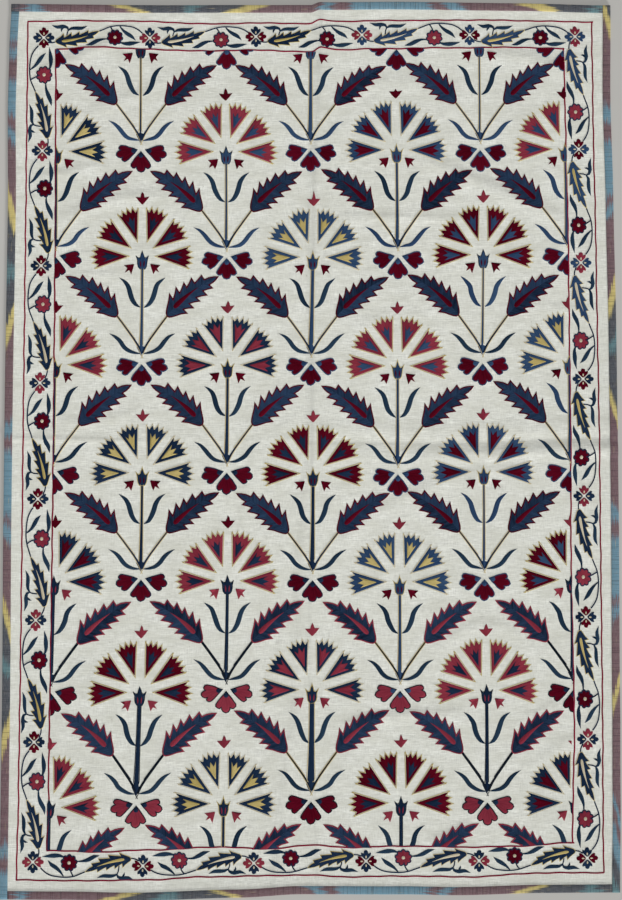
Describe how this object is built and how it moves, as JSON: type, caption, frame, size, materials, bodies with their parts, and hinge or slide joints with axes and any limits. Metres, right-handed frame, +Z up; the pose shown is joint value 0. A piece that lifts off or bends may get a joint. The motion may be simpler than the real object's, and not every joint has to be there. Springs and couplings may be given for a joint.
{
  "type": "suzani embroidered textile",
  "caption": "Large flat embroidered cotton cloth with a flower and leaf pattern, a vine border and narrow ikat edging.",
  "frame": {"origin": "on the surface the cloth lies on, under the middle of its outline", "axes": "+Y along the length, +X across the width, +Z up out of the embroidered face"},
  "size_m": [1.508, 2.208, 0.0074],
  "materials": {
    "ground_cotton": "matt plain-woven cotton",
    "ikat_strip": "matt ribbed ikat cloth"
  },
  "bodies": {
    "root": {"ground_cloth": "ground_cotton", "edging_top": "ikat_strip", "edging_bottom": "ikat_strip", "edging_left": "ikat_strip", "edging_right": "ikat_strip"}
  },
  "joints": []
}
